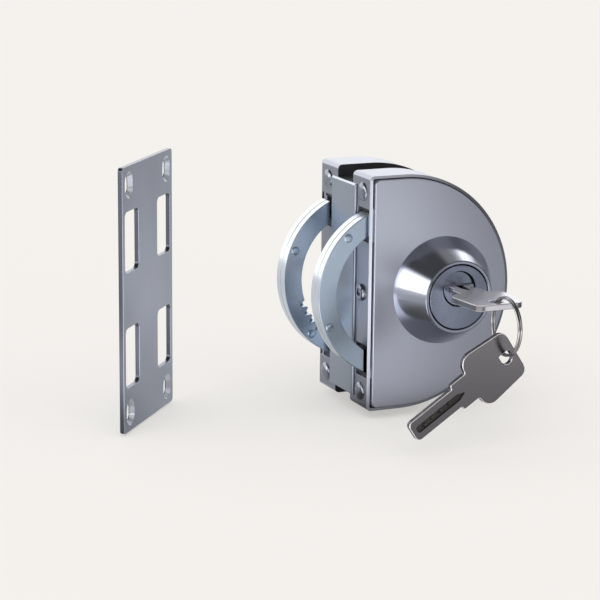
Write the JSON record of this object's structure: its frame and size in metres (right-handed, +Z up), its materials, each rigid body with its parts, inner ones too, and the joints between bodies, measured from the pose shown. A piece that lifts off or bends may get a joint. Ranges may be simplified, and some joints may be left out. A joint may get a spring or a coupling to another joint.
{
  "type": "glass door deadbolt lock",
  "caption": "Half-round clamp-on deadbolt for a glass door: keyed cylinder and crescent swing bolt on each side, strike plate and two keys on a ring.",
  "frame": {"origin": "centre of the rubber seat that meets the edge of the glass, at mid height and on the middle plane of the glass", "axes": "+X into the glass, away from the strike; +Y from the front face of the door to the rear face; +Z up"},
  "size_m": [0.1695, 0.1339, 0.11],
  "materials": {
    "satin_steel": "satin stainless steel",
    "polished_steel": "mirror-polished stainless steel",
    "nickel_brass": "satin nickel plate on brass",
    "bolt_steel": "bright zinc-plated steel",
    "rivet_steel": "flush-ground steel",
    "zinc_steel": "zinc-plated sheet",
    "screw_steel": "bright steel",
    "black_steel": "black oxide",
    "spring_steel": "bright spring steel",
    "pin_brass": "turned brass",
    "pad_rubber": "matte black rubber",
    "key_nickel": "nickel plate",
    "ring_steel": "nickel-plated spring steel"
  },
  "bodies": {
    "lock_body": {"front_case": "satin_steel", "front_cover": "satin_steel", "front_cover_screws": "screw_steel", "front_cone": "polished_steel", "front_cylinder_body": "nickel_brass", "front_cylinder_screws": "screw_steel", "front_driver_pins": "pin_brass", "front_pin_springs": "spring_steel", "front_set_screws": "black_steel", "front_clamp_plate": "zinc_steel", "front_glass_pad": "pad_rubber", "front_edge_rivets": "screw_steel", "front_edge_screw": "screw_steel", "rear_case": "satin_steel", "rear_cover": "satin_steel", "rear_cover_screws": "screw_steel", "rear_cone": "polished_steel", "rear_cylinder_body": "nickel_brass", "rear_cylinder_screws": "screw_steel", "rear_driver_pins": "pin_brass", "rear_pin_springs": "spring_steel", "rear_set_screws": "black_steel", "rear_clamp_plate": "zinc_steel", "rear_glass_pad": "pad_rubber", "rear_edge_rivets": "screw_steel", "rear_edge_screw": "screw_steel", "bridge": "satin_steel", "bridge_screws": "screw_steel", "edge_buffer": "pad_rubber"},
    "front_bolt": {"front_bolt_plate": "bolt_steel", "front_toothed_plate": "bolt_steel", "front_bolt_rivets": "rivet_steel"},
    "front_plug": {"front_plug": "nickel_brass", "front_key_pins": "pin_brass", "front_pinion": "bolt_steel"},
    "rear_bolt": {"rear_bolt_plate": "bolt_steel", "rear_toothed_plate": "bolt_steel", "rear_bolt_rivets": "rivet_steel"},
    "rear_plug": {"rear_plug": "nickel_brass", "rear_key_pins": "pin_brass", "rear_pinion": "bolt_steel"},
    "inserted_key": {"key_in_lock": "key_nickel"},
    "split_ring": {"key_ring": "ring_steel"},
    "hanging_key": {"spare_key": "key_nickel"},
    "strike": {"strike_plate": "satin_steel"}
  },
  "joints": [
    {"name": "front_bolt_swing", "type": "hinge", "parent": "lock_body", "child": "front_bolt", "pos_m": [0.00303, -0.018, 0], "axis": [0, 1, 0], "range_deg": [0, 130.9]},
    {"name": "front_plug_turn", "type": "hinge", "parent": "lock_body", "child": "front_plug", "pos_m": [0.0216, -0.018, 0.0035], "axis": [0, 1, 0], "range_deg": [0, 360]},
    {"name": "rear_bolt_swing", "type": "hinge", "parent": "lock_body", "child": "rear_bolt", "pos_m": [0.00303, 0.018, 0], "axis": [0, -1, 0], "range_deg": [0, 130.9]},
    {"name": "rear_plug_turn", "type": "hinge", "parent": "lock_body", "child": "rear_plug", "pos_m": [0.0216, 0.018, -0.0035], "axis": [0, -1, 0], "range_deg": [0, 360]},
    {"name": "key_withdraw", "type": "slide", "parent": "front_plug", "child": "inserted_key", "axis": [0, -1, 0], "range_m": [0, 0.028]},
    {"name": "key_ring_swing", "type": "hinge", "parent": "inserted_key", "child": "split_ring", "pos_m": [0.0216, -0.0716, 0.0035], "axis": [1, 0, 0], "range_deg": [-25, 5]},
    {"name": "spare_key_swing", "type": "hinge", "parent": "split_ring", "child": "hanging_key", "pos_m": [0.0216, -0.0808, -0.0162], "axis": [0, 1, 0], "range_deg": [-115, 10]},
    {"name": "strike_slide", "type": "slide", "parent": "lock_body", "child": "strike", "axis": [-1, 0, 0], "range_m": [0, 0.02]}
  ],
  "couplings": [
    {"joint": "front_plug_turn", "follows": "front_bolt_swing", "ratio": 2.75},
    {"joint": "rear_plug_turn", "follows": "rear_bolt_swing", "ratio": 2.75}
  ]
}
